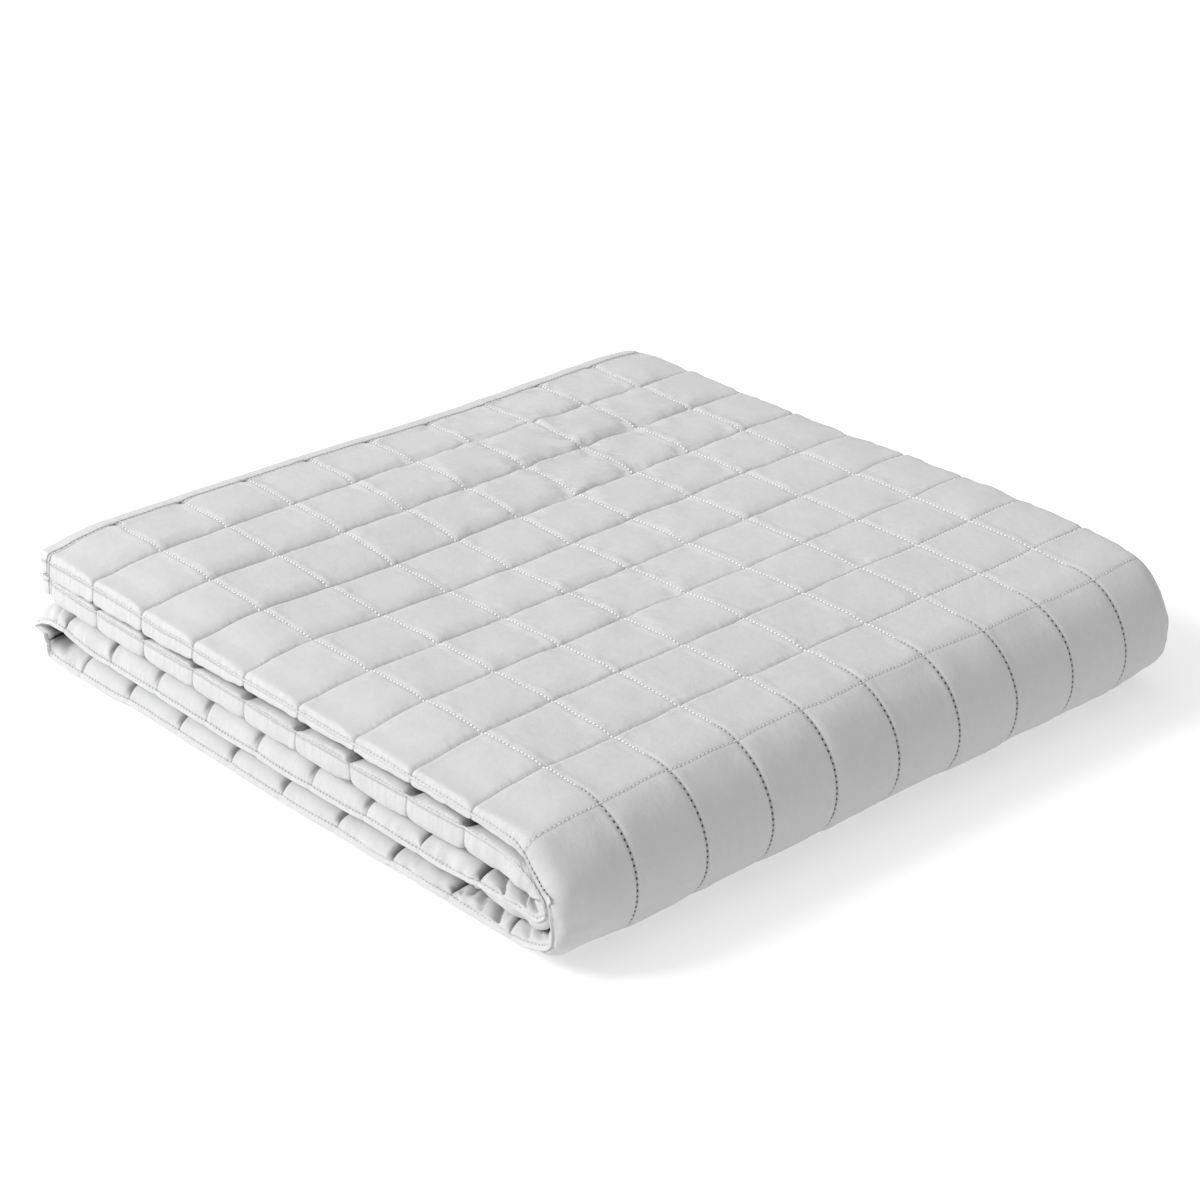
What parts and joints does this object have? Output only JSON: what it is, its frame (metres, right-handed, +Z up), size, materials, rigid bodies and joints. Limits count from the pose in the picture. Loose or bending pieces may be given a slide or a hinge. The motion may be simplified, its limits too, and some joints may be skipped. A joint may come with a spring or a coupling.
{
  "type": "folded weighted blanket",
  "caption": "Quilted weighted blanket in plain light grey cotton, folded in half twice into a flat square stack of padded plies with stitched hems.",
  "frame": {"origin": "middle of the bounding box's bottom: the blanket lies on Z = 0", "axes": "+Z up, the thickness of the folded stack; +X towards the two nested folds, with the hemmed ends at -X; Y along the folds, with the hemmed side edges at both ends of Y"},
  "size_m": [0.5188, 0.5162, 0.0913],
  "materials": {
    "cotton": "light grey plain-weave cotton, smooth and faintly satiny, quilted in squares with grey thread"
  },
  "bodies": {
    "root": {"blanket": "cotton"}
  },
  "joints": []
}
